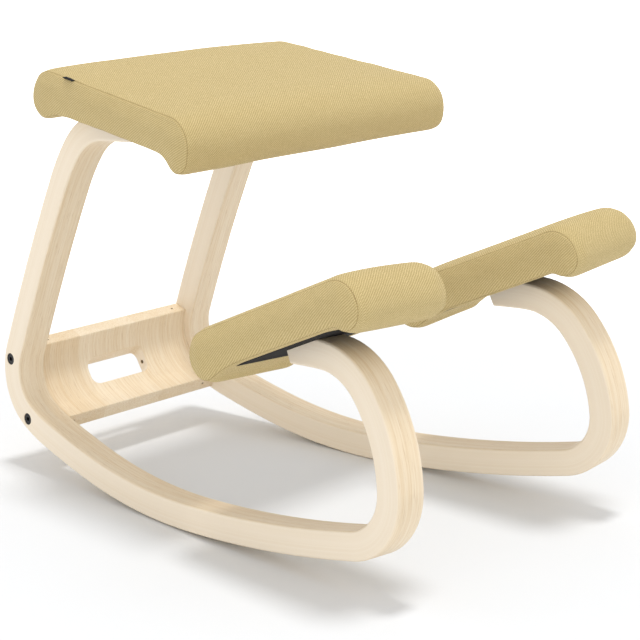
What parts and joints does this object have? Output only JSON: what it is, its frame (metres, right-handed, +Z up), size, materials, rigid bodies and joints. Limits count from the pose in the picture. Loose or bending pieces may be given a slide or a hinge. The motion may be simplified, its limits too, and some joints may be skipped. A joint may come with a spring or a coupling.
{
  "type": "kneeling chair",
  "caption": "Rocking kneeling chair: bent laminated wooden runners joined by a moulded panel with a hand slot, carrying an upholstered seat and sloping upholstered knee pads.",
  "frame": {"origin": "on the floor, under the middle of the chair's length and width", "axes": "+X to the sitter's left, +Y to the back, +Z up; the sitter faces -Y"},
  "size_m": [0.4846, 0.7002, 0.5202],
  "materials": {
    "runner_wood": "clear matt lacquer on pale laminated wood",
    "panel_wood": "clear matt lacquer on pale moulded plywood",
    "plywood": "raw plywood",
    "cover_fabric": "straw-coloured twill with a visible diagonal weave",
    "foam": "soft open-cell foam",
    "black_cloth": "black non-woven cloth",
    "black_steel": "blackened steel, satin",
    "zinc_steel": "dull zinc plating"
  },
  "bodies": {
    "root": {"runner_right": "runner_wood", "runner_left": "runner_wood", "stretcher_panel": "panel_wood", "upper_bolt_right": "black_steel", "lower_bolt_right": "black_steel", "upper_bolt_left": "black_steel", "lower_bolt_left": "black_steel", "upper_insert_right": "zinc_steel", "lower_insert_right": "zinc_steel", "upper_insert_left": "zinc_steel", "lower_insert_left": "zinc_steel", "insert_lock_pins": "zinc_steel", "seat_board": "plywood", "seat_cover": "cover_fabric", "seat_foam": "foam", "seat_under_cloth": "black_cloth", "seat_tee_nuts": "zinc_steel", "seat_screws": "black_steel", "knee_pad_right_board": "plywood", "knee_pad_right_cover": "cover_fabric", "knee_pad_right_foam": "foam", "knee_pad_right_under_cloth": "black_cloth", "knee_pad_right_tee_nuts": "zinc_steel", "knee_pad_right_screws": "black_steel", "knee_pad_left_board": "plywood", "knee_pad_left_cover": "cover_fabric", "knee_pad_left_foam": "foam", "knee_pad_left_under_cloth": "black_cloth", "knee_pad_left_tee_nuts": "zinc_steel", "knee_pad_left_screws": "black_steel"}
  },
  "joints": []
}
